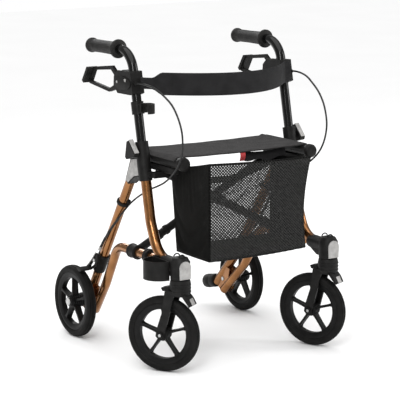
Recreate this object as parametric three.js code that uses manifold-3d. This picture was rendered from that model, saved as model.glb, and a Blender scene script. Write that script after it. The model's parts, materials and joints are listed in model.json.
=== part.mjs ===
// Rollator walker: an aluminium four-wheeled walking frame that folds sideways.
// Millimetres. +Z is up, -Y is the direction of travel, and the two side frames stand at -X and +X.
// A user who walks behind it has the side at -X on their right hand, and the nodes are named that way.
// The drawing's own origin is on the floor, midway between the side frames, below the sleeves' tops.
// The finished group is then shifted so that its origin is the middle of its footprint.

import * as THREE from 'three';
import { mergeVertices } from 'three/addons/utils/BufferGeometryUtils.js';
import Module from 'manifold-3d';

const wasm = await Module();
wasm.setup();

// ---------------------------------------------------------------- driving dimensions

const GAP = 0.3;                 // space left between two pieces that touch
const FRAME_X = 235;             // plane of each side frame's tubes
const LEAN = THREE.MathUtils.degToRad(12);

const FRONT_TUBE_R = 14;
const REAR_TUBE_R = 13;
const RAIL_TUBE_R = 12.5;
const POST_R = 12.5;
const POST_BORE_R = 13.3;        // circumradius of the bores that the post slides in

const SLEEVE_TOP_Z = 578;
const SLEEVE_TOP_Y = -2;
const SLEEVE_BOTTOM_Z = 477;
const SLEEVE_R = 17.5;

const WHEEL_R = 100;
const WHEEL_SEGMENTS = 32;
const TYRE_HALF_W = 14;
const TYRE_INNER_R = 79;
const AXLE_Z = WHEEL_R * Math.cos(Math.PI / WHEEL_SEGMENTS);
const AXLE_R = 6;
const AXLE_BORE_R = 6.5;
const REAR_WHEEL_X = 277;
const REAR_AXLE_Y = 286;

const STEM_Y = -189;
const TRAIL = 46.6;
const SWIVEL = { right: THREE.MathUtils.degToRad(33), left: THREE.MathUtils.degToRad(24) };
const HEAD_R = 26;
const HEAD_BOTTOM_Z = 248;
const STEM_R = 8;

const LOWER_RAIL_Z = 279;
const CROSS_Z = 401.3;           // height of the cross-brace's middle pivot
const LINK_A_Y = 30;
const LINK_B_Y = -20;
const LINK_R = 11;
const LINK_COLLAR_R = 19.5;
const SEAT_RAIL_X = 200;
const SEAT_RAIL_Z = 535;
const SEAT_RAIL_R = 15;

const GRIP_Z = 810;
const GRIP_DROP = 0.0148;        // slope of the grips, down towards the user
const LEVER_X = 246;
const LEVER_PIVOT = { y: 82, z: 727 };
const BRAKE_PIVOT = { y: 206, z: 226 };
const CABLE_R = 2.5;

const STRAP_Z = 729;             // middle height of the backrest strap
const STRAP_HALF_THICK = 3;

const ORIGIN = { x: -9.95, y: 73.275 };  // middle of the footprint, in the drawing's own frame

// ---------------------------------------------------------------- materials

const PAINTS = {
  bronze: { color: 0xb98252, roughness: 0.3, metalness: 0.9 },
  postBlack: { color: 0x141312, roughness: 0.22, metalness: 0.4 },
  plastic: { color: 0x2b2927, roughness: 0.6, metalness: 0 },
  cover: { color: 0xa6a3a0, roughness: 0.45, metalness: 0.3 },
  rubber: { color: 0x2a2928, roughness: 0.85, metalness: 0 },
  rim: { color: 0x1c1b1b, roughness: 0.45, metalness: 0.1 },
  steel: { color: 0xb8b8b8, roughness: 0.3, metalness: 1 },
  seat: { color: 0x555151, roughness: 0.9, metalness: 0 },
  webbing: { color: 0x343436, roughness: 0.9, metalness: 0 },
  mesh: { color: 0x201f1e, roughness: 0.9, metalness: 0 },
};

// ---------------------------------------------------------------- solids

// One closed mesh with merged vertices, no flat slivers and its faces pointing outward.
function closed(geometry) {
  const bare = geometry.clone();
  bare.deleteAttribute('normal');
  bare.deleteAttribute('uv');
  const merged = mergeVertices(bare, 1e-3);
  const p = merged.getAttribute('position');
  const source = merged.index.array;
  const faces = [];
  let volume = 0;
  const a = new THREE.Vector3();
  const b = new THREE.Vector3();
  const c = new THREE.Vector3();
  for (let i = 0; i < source.length; i += 3) {
    const [ia, ib, ic] = [source[i], source[i + 1], source[i + 2]];
    if (ia === ib || ib === ic || ic === ia) continue;
    faces.push(ia, ib, ic);
    a.fromBufferAttribute(p, ia);
    b.fromBufferAttribute(p, ib);
    c.fromBufferAttribute(p, ic);
    volume += a.dot(b.cross(c));
  }
  if (volume < 0) {
    for (let i = 0; i < faces.length; i += 3) {
      [faces[i + 1], faces[i + 2]] = [faces[i + 2], faces[i + 1]];
    }
  }
  const out = new THREE.BufferGeometry();
  out.setAttribute('position', p.clone());
  out.setIndex(faces);
  return out;
}

function toSolid(geometry) {
  const shell = closed(geometry);
  const mesh = new wasm.Mesh({
    numProp: 3,
    vertProperties: new Float32Array(shell.getAttribute('position').array),
    triVerts: new Uint32Array(shell.index.array),
  });
  return new wasm.Manifold(mesh);
}

function toGeometry(solid) {
  const mesh = solid.getMesh();
  const out = new THREE.BufferGeometry();
  out.setAttribute('position', new THREE.BufferAttribute(new Float32Array(mesh.vertProperties), 3));
  out.setIndex(new THREE.BufferAttribute(new Uint32Array(mesh.triVerts), 1));
  return out;
}

// The first shape joined with the added ones, less the cut ones.
function carve(base, { add = [], cut = [] }) {
  let solid = toSolid(base);
  for (const piece of add) solid = solid.add(toSolid(piece));
  for (const piece of cut) solid = solid.subtract(toSolid(piece));
  return toGeometry(solid);
}

const AXIS = {
  x: new THREE.Vector3(1, 0, 0),
  y: new THREE.Vector3(0, 1, 0),
  z: new THREE.Vector3(0, 0, 1),
};

function vec(x, y, z) {
  return new THREE.Vector3(x, y, z);
}

// A box from its lowest to its highest corner, given in any order.
function box(x0, x1, y0, y1, z0, z1) {
  const geometry = new THREE.BoxGeometry(Math.abs(x1 - x0), Math.abs(y1 - y0), Math.abs(z1 - z0));
  return geometry.translate((x0 + x1) / 2, (y0 + y1) / 2, (z0 + z1) / 2);
}

// A round bar between two points.
function rod(from, to, radius, sides = 12, endRadius = radius) {
  const length = from.distanceTo(to);
  const geometry = new THREE.CylinderGeometry(endRadius, radius, length, sides);
  const turn = new THREE.Quaternion().setFromUnitVectors(AXIS.y, to.clone().sub(from).normalize());
  geometry.applyQuaternion(turn);
  const middle = from.clone().add(to).multiplyScalar(0.5);
  return geometry.translate(middle.x, middle.y, middle.z);
}

// An outline as 2-D points that run the wanted way round.
function wound(outline, clockwise) {
  const points = outline.map(([y, z]) => new THREE.Vector2(y, z));
  return THREE.ShapeUtils.isClockWise(points) === clockwise ? points : points.reverse();
}

// A plate cut from an outline in the YZ plane, as thick as x0 to x1.
function sidePlate(outline, x0, x1, holes = []) {
  const shape = new THREE.Shape(wound(outline, false));
  shape.holes = holes.map((hole) => new THREE.Path(wound(hole, true)));
  const geometry = new THREE.ExtrudeGeometry(shape, { depth: Math.abs(x1 - x0), bevelEnabled: false });
  geometry.applyMatrix4(new THREE.Matrix4().makeBasis(AXIS.y, AXIS.z, AXIS.x));
  return geometry.translate(Math.min(x0, x1), 0, 0);
}

// A profile of [radius, x] points turned about the X axis.
function turnedX(profile, segments, close = false) {
  const points = profile.map(([r, x]) => new THREE.Vector2(r, x));
  if (close) points.push(points[0].clone());
  const geometry = new THREE.LatheGeometry(points, segments, Math.PI / segments);
  return geometry.applyMatrix4(new THREE.Matrix4().makeBasis(AXIS.z, AXIS.x, AXIS.y));
}

// A profile of [radius, z] points turned about the Z axis.
function turnedZ(profile, segments) {
  const points = profile.map(([r, z]) => new THREE.Vector2(r, z));
  return new THREE.LatheGeometry(points, segments).rotateX(Math.PI / 2);
}

// A round tube whose centre line has straight runs and rounded corners.
function bentPath(corners, radius) {
  const path = new THREE.CurvePath();
  let start = corners[0];
  for (let i = 1; i < corners.length - 1; i += 1) {
    const corner = corners[i];
    const before = corner.clone().sub(start);
    const after = corners[i + 1].clone().sub(corner);
    const turn = before.angleTo(after);
    const reach = Math.min(radius * Math.tan(turn / 2), before.length() * 0.9, after.length() * 0.45);
    const enter = corner.clone().sub(before.normalize().multiplyScalar(reach));
    const leave = corner.clone().add(after.normalize().multiplyScalar(reach));
    path.add(new THREE.LineCurve3(start, enter));
    path.add(new THREE.QuadraticBezierCurve3(enter, corner, leave));
    start = leave;
  }
  path.add(new THREE.LineCurve3(start, corners[corners.length - 1]));
  return path;
}

function sweptTube(path, radius, sides, steps) {
  const section = new THREE.Shape();
  for (let i = 0; i < sides; i += 1) {
    const angle = ((i + 0.5) / sides) * 2 * Math.PI;
    const point = [radius * Math.cos(angle), radius * Math.sin(angle)];
    if (i === 0) section.moveTo(...point);
    else section.lineTo(...point);
  }
  section.closePath();
  return new THREE.ExtrudeGeometry(section, { steps, extrudePath: path, bevelEnabled: false });
}

// The leaning line that the post, its sleeve and the front tube's top share, at a given height.
function leanY(z) {
  return SLEEVE_TOP_Y + (z - SLEEVE_TOP_Z) * Math.tan(LEAN);
}

function leanPoint(x, z) {
  return vec(x, leanY(z), z);
}

// ---------------------------------------------------------------- scene graph

const rollator = new THREE.Group();
const drawing = new THREE.Group();
drawing.position.set(-ORIGIN.x, -ORIGIN.y, 0);
rollator.add(drawing);

function place(name, paint, geometry, parent = drawing) {
  const shell = closed(geometry);
  shell.computeVertexNormals();
  const mesh = new THREE.Mesh(shell, new THREE.MeshStandardMaterial(PAINTS[paint]));
  mesh.name = name;
  parent.add(mesh);
  return mesh;
}

// ---------------------------------------------------------------- side frame tubes

function frontTubePath(x) {
  return bentPath([leanPoint(x, 540), vec(x, leanY(372), 372), vec(x, -84, 287), vec(x, -172, 280)], 90);
}

function frontTube(x) {
  const bore = rod(leanPoint(x, 376), leanPoint(x, 545), POST_BORE_R);
  return carve(sweptTube(frontTubePath(x), FRONT_TUBE_R, 12, 16), { cut: [bore] });
}

function frontTubeCutter(x) {
  return sweptTube(frontTubePath(x), FRONT_TUBE_R + GAP, 12, 16);
}

function rearTubePath(s, past = 0) {
  const top = vec(s * FRAME_X, 40, 490);
  const knee = vec(s * 231, 236, 187);
  const end = vec(s * 215, 320, 83);
  end.add(end.clone().sub(knee).setLength(past));
  return bentPath([top, knee, end], 120);
}

function rearTube(s) {
  const axleHole = rod(vec(s * 200, REAR_AXLE_Y, AXLE_Z), vec(s * 250, REAR_AXLE_Y, AXLE_Z), AXLE_BORE_R);
  return carve(sweptTube(rearTubePath(s), REAR_TUBE_R, 12, 10), { cut: [axleHole] });
}

function lowerRailPath(s) {
  const front = vec(s * FRAME_X, -82, LOWER_RAIL_Z);
  const bend = vec(s * FRAME_X, 122, LOWER_RAIL_Z);
  return bentPath([front, bend, vec(s * 229, 198, 158), vec(s * 214, 284, 66)], 60);
}

function rearTubeCutter(s) {
  return sweptTube(rearTubePath(s, GAP), REAR_TUBE_R + GAP, 12, 10);
}

function lowerRailCutter(s) {
  return sweptTube(lowerRailPath(s), RAIL_TUBE_R + GAP, 12, 10);
}

// The moulded housing at the top of each side frame: a sleeve round the post and the front tube's
// end, a web that holds the rear tube's top, a boss for the knob and a ledge under the seat rail.
function postSleeve(s) {
  const x = s * FRAME_X;
  const barrel = rod(leanPoint(x, SLEEVE_BOTTOM_Z), leanPoint(x, SLEEVE_TOP_Z), SLEEVE_R, 16);
  const web = sidePlate(
    [[-4, 540], [30, 533], [58, 470], [44, 460], [12, 482], [-16, 488]],
    s * 222, s * 249,
  );
  const boss = rod(vec(s * 245, -2, 556), vec(s * 255, -2, 556), 9, 12);
  const ledge = box(s * 192, s * 232, -62, -38, 488, SEAT_RAIL_Z - 32 - GAP);
  const arm = box(s * 222, s * 238, -45, -18, 488, SEAT_RAIL_Z - 32 - GAP);
  const postBore = rod(leanPoint(x, 470), leanPoint(x, 590), POST_BORE_R);
  const tubeBore = rod(leanPoint(x, 470), leanPoint(x, 540 + GAP), FRONT_TUBE_R + 2 * GAP);
  return carve(barrel, { add: [web, boss, ledge, arm], cut: [postBore, tubeBore, rearTubeCutter(s)] });
}

function coverPlate(s) {
  const x = s * FRAME_X;
  const plate = sidePlate(
    [[-3, 534], [26, 528], [53, 470], [42, 465], [12, 486], [-11, 491]],
    s * 249.3, s * 251.3,
  );
  const barrel = rod(leanPoint(x, SLEEVE_BOTTOM_Z), leanPoint(x, SLEEVE_TOP_Z), SLEEVE_R + 2 * GAP, 16);
  return carve(plate, { cut: [barrel] });
}

function lowerRail(s) {
  return carve(sweptTube(lowerRailPath(s), RAIL_TUBE_R, 12, 10), { cut: [frontTubeCutter(s * FRAME_X)] });
}

// The welded lug between the ends of the rear tube and the lower rail, which carries the axle.
function axleLug(s) {
  const outline = [[252, 134], [272, 138], [312, 108], [322, 78], [284, 58], [266, 72]];
  const lug = sidePlate(outline, s * 212, s * 238);
  const bore = rod(vec(s * 200, REAR_AXLE_Y, AXLE_Z), vec(s * 250, REAR_AXLE_Y, AXLE_Z), AXLE_BORE_R);
  return carve(lug, { cut: [rearTubeCutter(s), lowerRailCutter(s), bore] });
}

function rearAxle(s) {
  const shaft = rod(vec(s * 210, REAR_AXLE_Y, AXLE_Z), vec(s * 299, REAR_AXLE_Y, AXLE_Z), AXLE_R);
  const head = rod(vec(s * 296.6, REAR_AXLE_Y, AXLE_Z), vec(s * 301, REAR_AXLE_Y, AXLE_Z), 11, 16);
  return carve(shaft, { add: [head] });
}

function tipPedal(s) {
  const heel = rod(vec(s * 216, 312, 90), vec(s * 213, 368, 77), 19);
  const lugSpace = box(s * 190, s * 240, 280, 322 + 2 * GAP, 40, 130);
  return carve(heel, { cut: [rearTubeCutter(s), lugSpace] });
}

// ---------------------------------------------------------------- caster heads and forks

function casterHead(s) {
  const x = s * FRAME_X;
  const profile = [[0, HEAD_BOTTOM_Z], [HEAD_R, HEAD_BOTTOM_Z], [HEAD_R, 292], [19, 304], [0, 308]];
  const column = turnedZ(profile, 16);
  column.translate(x, STEM_Y, 0);
  const socket = rod(vec(x, -112, 281), vec(x, STEM_Y, 278), 18, 12, 20);
  const web = [[-175, 250], [-175, 284], [-112, 284], [-116, 268], [-150, 250]];
  const gusset = sidePlate(web, x - 11, x + 11);
  const flat = box(x - 30, x + 30, STEM_Y - 40, STEM_Y - 22, 240, 320);
  const bore = rod(vec(x, STEM_Y, 240), vec(x, STEM_Y, 292), STEM_R + 0.6);
  const tubeSpace = frontTubeCutter(x);
  return carve(column, { add: [socket, gusset], cut: [flat, bore, tubeSpace] });
}

function casterPlate(s) {
  const shape = new THREE.Shape();
  shape.moveTo(-16, 250);
  shape.lineTo(16, 250);
  shape.lineTo(17, 282);
  shape.absarc(0, 280, 17, 0.1, Math.PI - 0.1, false);
  shape.closePath();
  const geometry = new THREE.ExtrudeGeometry(shape, { depth: 2.5, bevelEnabled: false, curveSegments: 4 });
  geometry.rotateX(Math.PI / 2);
  return geometry.translate(s * FRAME_X, STEM_Y - 22 - GAP, 0);
}

// A fork drawn with its stem on the Z axis and its wheel behind it, towards +Y.
function fork() {
  const crown = turnedZ([[0, 205], [22, 205], [27, 212], [27, 240], [25, 246.5], [0, 246.5]], 16);
  const stem = rod(vec(0, 0, 240), vec(0, 0, 286), STEM_R);
  const lip = sidePlate([[-12, 206], [-23, 192], [-33, 179], [-37, 182], [-29, 198], [-16, 212]], -20, 20);
  const tail = sidePlate([[18, 212], [46, 214], [50, 222], [20, 230]], -11, 11);
  const bridge = box(-24, 24, -14, 28, 205, 218);
  const outline = [
    [6, 216], [34, 216], [42, 160], [57, 114], [60, 96], [50, 86], [39, 90], [33, 112], [20, 160],
  ];
  const legs = [-1, 1].map((side) => sidePlate(outline, side * 17.5, side * 23.5));
  const bore = rod(vec(-40, TRAIL, AXLE_Z), vec(40, TRAIL, AXLE_Z), AXLE_R + GAP);
  return carve(crown, { add: [stem, lip, tail, bridge, ...legs], cut: [bore] });
}

function frontAxle() {
  const shaft = rod(vec(-27, TRAIL, AXLE_Z), vec(27, TRAIL, AXLE_Z), AXLE_R - GAP);
  const heads = [-1, 1].map((side) => rod(
    vec(side * 23.8, TRAIL, AXLE_Z),
    vec(side * 28, TRAIL, AXLE_Z),
    9,
    12,
  ));
  return carve(shaft, { add: heads });
}

// ---------------------------------------------------------------- wheels

function tyre() {
  const w = TYRE_HALF_W;
  const half = [[TYRE_INNER_R, 9], [90, w], [WHEEL_R, 4]];
  const mirrored = half.map(([r, x]) => [r, -x]).reverse();
  return turnedX([...half, ...mirrored], WHEEL_SEGMENTS, true);
}

// Rim, five blade spokes and hub in one casting. The hub reaches from hubIn to hubOut.
function rim(hubA, hubB) {
  const [hubIn, hubOut] = [Math.min(hubA, hubB), Math.max(hubA, hubB)];
  const band = turnedX([[66, -8], [78.6, -9], [78.6, 9], [66, 8]], 20, true);
  const hub = rod(vec(hubIn, 0, 0), vec(hubOut, 0, 0), 18, 10);
  const spokes = [];
  for (let i = 0; i < 5; i += 1) {
    const blade = box(-9, 9, -3.5, 3.5, 14, 68);
    blade.rotateX((i / 5) * 2 * Math.PI);
    spokes.push(blade);
  }
  const bore = rod(vec(hubIn - 5, 0, 0), vec(hubOut + 5, 0, 0), AXLE_BORE_R);
  return carve(band, { add: [hub, ...spokes], cut: [bore] });
}

// ---------------------------------------------------------------- handles and brakes

function postPath(x) {
  const bendStart = leanPoint(x, 761);
  const corner = vec(x, bendStart.y + (GRIP_Z - 761) * Math.tan(LEAN), GRIP_Z);
  return bentPath([leanPoint(x, 430), corner, vec(x, 250, GRIP_Z - 3)], 62);
}

function handlePost(s) {
  return sweptTube(postPath(s * FRAME_X), POST_R, 12, 20);
}

function grip(s) {
  const profile = [
    [0, 0], [13, 0], [18.5, 7], [18.5, 140], [25, 142], [25, 148], [13.6, 148], [13.6, 6], [0, 6],
  ];
  const geometry = new THREE.LatheGeometry(profile.map(([r, y]) => new THREE.Vector2(r, y)), 12);
  geometry.rotateX(Math.PI - GRIP_DROP);
  return geometry.translate(s * FRAME_X, 257, GRIP_Z - 3);
}

// The clamp that holds the lever. Its body wraps the post, and the lever turns in its rear slot.
function brakeBlock(s) {
  const outline = [[7, 703], [19, 760], [84, 757], [102, 741], [104, 716], [84, 697], [20, 698]];
  const body = sidePlate(outline, s * 219.5, s * 256);
  const slot = box(s * 240.5, s * 251.5, 62, 120, 690, 765);
  const pin = rod(
    vec(s * 238, LEVER_PIVOT.y, LEVER_PIVOT.z),
    vec(s * 253, LEVER_PIVOT.y, LEVER_PIVOT.z),
    3,
    12,
  );
  const cap = rod(vec(s * 255, 40, 735), vec(s * 258.5, 40, 735), 7, 12);
  const bore = rod(leanPoint(s * FRAME_X, 680), leanPoint(s * FRAME_X, 775), POST_BORE_R);
  return carve(toGeometry(toSolid(body).subtract(toSolid(slot))), { add: [pin, cap], cut: [bore] });
}

// A closed loop: two bars leave the pivot and meet at the wide pad below the grip.
function brakeLever(s) {
  const outline = [
    [74, 722], [80, 737], [94, 745], [122, 765], [223, 752], [248, 714], [240, 706], [137, 694],
    [106, 703], [84, 716],
  ];
  const opening = [[216, 744], [127, 754], [105, 738], [113, 714], [137, 703], [234, 714]];
  const loop = sidePlate(outline, s * (LEVER_X - 4.5), s * (LEVER_X + 4.5), [opening]);
  const pad = sidePlate([[216, 750], [224, 753], [250, 714], [242, 708]], s * 237, s * 269);
  const bore = rod(
    vec(s * 235, LEVER_PIVOT.y, LEVER_PIVOT.z),
    vec(s * 258, LEVER_PIVOT.y, LEVER_PIVOT.z),
    3.5,
    12,
  );
  return carve(loop, { add: [pad], cut: [bore] });
}

// A three-sided clamping knob on the outer side of each sleeve.
function heightKnob(s) {
  const outline = [[4, 583], [12, 579], [20, 538], [14, 532], [-24, 543], [-27, 551]];
  const wing = sidePlate(outline, s * 257, s * 273);
  const shaft = rod(vec(s * 255.3, -2, 556), vec(s * 260, -2, 556), 6, 12);
  return carve(wing, { add: [shaft] });
}

// The clamp on the rear tube that holds the brake arm.
function brakeBody(s) {
  const path = rearTubePath(s);
  const at = (z) => {
    const samples = path.getSpacedPoints(200);
    return samples.reduce((best, point) => (Math.abs(point.z - z) < Math.abs(best.z - z) ? point : best));
  };
  const collar = rod(at(240), at(192), REAR_TUBE_R + 4);
  const ear = box(s * 240, s * 254, 196, 216, 214, 236);
  const { y, z } = BRAKE_PIVOT;
  const pin = rod(vec(s * 250, y, z), vec(s * 262, y, z), 3, 12);
  return carve(collar, { add: [ear, pin], cut: [rearTubeCutter(s)] });
}

// The swinging arm and the shoe that it presses on the rear tyre.
function brakeArm(s) {
  const arm = sidePlate(
    [[198, 246], [206, 240], [216, 228], [244, 200], [238, 194], [206, 214], [196, 226], [192, 240]],
    s * 254.4, s * 260,
  );
  const shoe = sidePlate([[229, 196], [236, 203], [252, 199], [240, 190]], s * 256, s * 290);
  const { y, z } = BRAKE_PIVOT;
  const bore = rod(vec(s * 245, y, z), vec(s * 270, y, z), 3.5, 12);
  return carve(arm, { add: [shoe], cut: [bore] });
}

// The cable leaves the brake block forwards, falls in a wide loop past the seat rail's end and
// winds round the rear tube down to the brake.
const CABLE_ROUTE = [
  [246, 9, 729], [246, -14, 731], [243, -45, 730], [239, -78, 724], [235, -108, 711],
  [231, -143, 690], [229, -168, 662], [227, -183, 630], [226, -187, 600], [224, -180, 565],
  [223, -160, 533], [221, -128, 505], [218, -88, 481], [216, -50, 465], [215.5, -15, 452],
  [216, 20, 436], [217, 52, 419], [220, 77, 402], [228, 84, 390], [238, 92, 374],
  [244, 106, 355], [250, 133, 325], [252, 165, 290], [252, 192, 257],
];

function brakeCable(s) {
  const points = CABLE_ROUTE.map(([x, y, z]) => vec(s * x, y, z));
  const curve = new THREE.CatmullRomCurve3(points, false, 'centripetal');
  return sweptTube(curve, CABLE_R, 8, 38);
}

// ---------------------------------------------------------------- cross brace and seat

// A brace that turns on the lower rail of side -s and carries the seat rail of side s.
// Two collars hold the lower rail: one at the brace itself, one farther along on a thin bar.
function crossLink(s, y, farY, bore) {
  const slope = (CROSS_Z - LOWER_RAIL_Z) / FRAME_X;
  const heightAt = (x) => LOWER_RAIL_Z + slope * (x * s + FRAME_X);
  const from = vec(-s * (FRAME_X - 12), y, heightAt(-s * (FRAME_X - 12)));
  const to = vec(s * SEAT_RAIL_X, y, heightAt(s * SEAT_RAIL_X));
  const beam = rod(from, to, LINK_R, 12);
  const collars = [[y - 14, y + 20], [farY - 8, farY + 8]].map(([y0, y1]) => rod(
    vec(-s * FRAME_X, y0, LOWER_RAIL_Z),
    vec(-s * FRAME_X, y1, LOWER_RAIL_Z),
    LINK_COLLAR_R,
  ));
  const barNear = FRAME_X - LINK_COLLAR_R + 1;
  const bar = box(-s * barNear, -s * (barNear + 5), y, farY, LOWER_RAIL_Z - 3, LOWER_RAIL_Z + 12);
  const saddle = box(s * 192, s * 208, -118, 58, SEAT_RAIL_Z - 32, SEAT_RAIL_Z - SEAT_RAIL_R - GAP);
  const eye = rod(vec(0, y - 13, CROSS_Z), vec(0, y + 13, CROSS_Z), 13);
  const railBore = rod(
    vec(-s * FRAME_X, -60, LOWER_RAIL_Z),
    vec(-s * FRAME_X, 80, LOWER_RAIL_Z),
    RAIL_TUBE_R + 0.8,
  );
  const pivotBore = rod(vec(0, y - 20, CROSS_Z), vec(0, y + 20, CROSS_Z), bore);
  return carve(beam, { add: [...collars, bar, saddle, eye], cut: [railBore, pivotBore] });
}

function crossBolt() {
  const shaft = rod(vec(0, LINK_B_Y - 16, CROSS_Z), vec(0, LINK_A_Y + 16, CROSS_Z), 5, 12);
  const spacer = rod(
    vec(0, LINK_B_Y + 13.5, CROSS_Z),
    vec(0, LINK_A_Y - 13.5, CROSS_Z),
    10,
  );
  const heads = [
    [LINK_B_Y - 19, LINK_B_Y - 13.5],
    [LINK_A_Y + 13.5, LINK_A_Y + 19],
  ].map(([y0, y1]) => rod(vec(0, y0, CROSS_Z), vec(0, y1, CROSS_Z), 9, 12));
  return carve(shaft, { add: [spacer, ...heads] });
}

function seatRail(s) {
  const along = (y) => vec(s * SEAT_RAIL_X, y, SEAT_RAIL_Z);
  const bar = rod(along(-141), along(72), SEAT_RAIL_R);
  const frontCap = rod(along(-158), along(-138), 14, 12, 18);
  const rearCap = rod(along(70), along(77), 16.5);
  return carve(bar, { add: [frontCap, rearCap] });
}

function seat() {
  return box(-184, 184, -128, 62, 546, 551);
}

// ---------------------------------------------------------------- backrest, basket, cane holder

// The strap's middle line bows forwards and lies flat against the blocks at its ends.
function strapY(x) {
  return Math.min(-130 + 150 * (x / FRAME_X) ** 2, 1.5);
}

// A piece of strap from x0 to x1 that reaches halfHeight above and below its middle.
function strapRun(x0, x1, halfHeight, steps) {
  const stations = Array.from({ length: steps + 1 }, (_, i) => x0 + ((x1 - x0) * i) / steps);
  const front = stations.map((x) => [x, strapY(x) - STRAP_HALF_THICK]);
  const back = stations.map((x) => [x, strapY(x) + STRAP_HALF_THICK]).reverse();
  const shape = new THREE.Shape([...front, ...back].map(([x, y]) => new THREE.Vector2(x, y)));
  const geometry = new THREE.ExtrudeGeometry(shape, { depth: 2 * halfHeight, bevelEnabled: false });
  return geometry.translate(0, 0, STRAP_Z - halfHeight);
}

// The wide pad reaches round the left block, and a narrow tail joins it to the right one.
function backrest() {
  return carve(strapRun(-190, 241, 29, 16), { add: [strapRun(-218, -187, 16, 3)] });
}

function basket() {
  const outer = sidePlate([[-208, 530], [-200, 289], [-56, 284], [-52, 500]], -157, 157);
  const inner = sidePlate([[-205, 560], [-197, 292], [-59, 287], [-55, 560]], -154, 154);
  return carve(outer, { cut: [inner] });
}

// The cane's foot stands in this cup, outside the front tube on the user's right.
function caneCup() {
  const bowl = (inset, height) => {
    const shape = new THREE.Shape();
    shape.absellipse(0, 0, 44 - inset, 41 - inset, Math.PI / 2, 1.5 * Math.PI, false, 0);
    shape.lineTo(4 - inset, inset - 41);
    shape.lineTo(4 - inset, 41 - inset);
    shape.closePath();
    const options = { depth: height, bevelEnabled: false, curveSegments: 10 };
    return new THREE.ExtrudeGeometry(shape, options).translate(-260.5, -131, 242);
  };
  const inner = bowl(2.5, 80).translate(0, 0, 3);
  const lug = box(-258, -240, -110, -94, 272, 296);
  return carve(bowl(0, 50), { add: [lug], cut: [inner, frontTubeCutter(-FRAME_X)] });
}

// A clamp on the right post with an open C that holds the cane upright.
function caneClip() {
  const clamp = rod(leanPoint(-FRAME_X, 648), leanPoint(-FRAME_X, 680), 16.5);
  const neck = box(-241, -229, -18, 8, 660, 676);
  const hook = new THREE.Shape();
  hook.absarc(0, 0, 20, Math.PI * 0.35, Math.PI * 1.75, false);
  hook.absarc(0, 0, 16, Math.PI * 1.75, Math.PI * 0.35, true);
  hook.closePath();
  const hookSolid = new THREE.ExtrudeGeometry(hook, { depth: 25, bevelEnabled: false, curveSegments: 8 });
  hookSolid.rotateZ(Math.PI);
  hookSolid.translate(-238, -36, 656);
  const bore = rod(leanPoint(-FRAME_X, 635), leanPoint(-FRAME_X, 690), POST_BORE_R);
  return carve(clamp, { add: [neck, hookSolid], cut: [bore] });
}

// ---------------------------------------------------------------- assembly

const SIDES = { right: -1, left: 1 };

for (const [side, s] of Object.entries(SIDES)) {
  const x = s * FRAME_X;
  place(`front_tube_${side}`, 'bronze', frontTube(x));
  place(`rear_tube_${side}`, 'bronze', rearTube(s));
  place(`lower_rail_${side}`, 'bronze', lowerRail(s));
  place(`post_sleeve_${side}`, 'plastic', postSleeve(s));
  place(`cover_plate_${side}`, 'cover', coverPlate(s));
  place(`axle_lug_${side}`, 'bronze', axleLug(s));
  place(`rear_axle_${side}`, 'steel', rearAxle(s));
  place(`tip_pedal_${side}`, 'rubber', tipPedal(s));
  place(`caster_head_${side}`, 'plastic', casterHead(s));
  place(`caster_plate_${side}`, 'cover', casterPlate(s));

  const caster = new THREE.Group();
  caster.position.set(x, STEM_Y, 0);
  caster.rotation.z = SWIVEL[side];
  drawing.add(caster);
  place(`caster_fork_${side}`, 'plastic', fork(), caster);
  place(`front_axle_${side}`, 'steel', frontAxle(), caster);
  const frontWheel = new THREE.Group();
  frontWheel.position.set(0, TRAIL, AXLE_Z);
  caster.add(frontWheel);
  place(`front_tyre_${side}`, 'rubber', tyre(), frontWheel);
  place(`front_rim_${side}`, 'rim', rim(-16, 16), frontWheel);

  const rearWheel = new THREE.Group();
  rearWheel.position.set(s * REAR_WHEEL_X, REAR_AXLE_Y, AXLE_Z);
  drawing.add(rearWheel);
  place(`rear_tyre_${side}`, 'rubber', tyre(), rearWheel);
  place(`rear_rim_${side}`, 'rim', rim(-s * 37, s * 19), rearWheel);

  place(`handle_post_${side}`, 'postBlack', handlePost(s));
  place(`grip_${side}`, 'rubber', grip(s));
  place(`brake_block_${side}`, 'plastic', brakeBlock(s));
  place(`brake_lever_${side}`, 'plastic', brakeLever(s));
  place(`height_knob_${side}`, 'cover', heightKnob(s));
  place(`brake_body_${side}`, 'plastic', brakeBody(s));
  place(`brake_arm_${side}`, 'plastic', brakeArm(s));
  place(`brake_cable_${side}`, 'rubber', brakeCable(s));
  place(`seat_rail_${side}`, 'plastic', seatRail(s));
}

place('cross_link_a', 'plastic', crossLink(1, LINK_A_Y, -38, 5.6));
place('cross_link_b', 'plastic', crossLink(-1, LINK_B_Y, 50, 5.6));
place('cross_bolt', 'steel', crossBolt());
place('seat', 'seat', seat());
place('backrest', 'webbing', backrest());
place('basket', 'mesh', basket());
place('cane_cup', 'plastic', caneCup());
place('cane_clip', 'plastic', caneClip());

export default rollator;
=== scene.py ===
import json
import math

import bmesh
import bpy
from mathutils import Matrix, Vector

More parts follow.
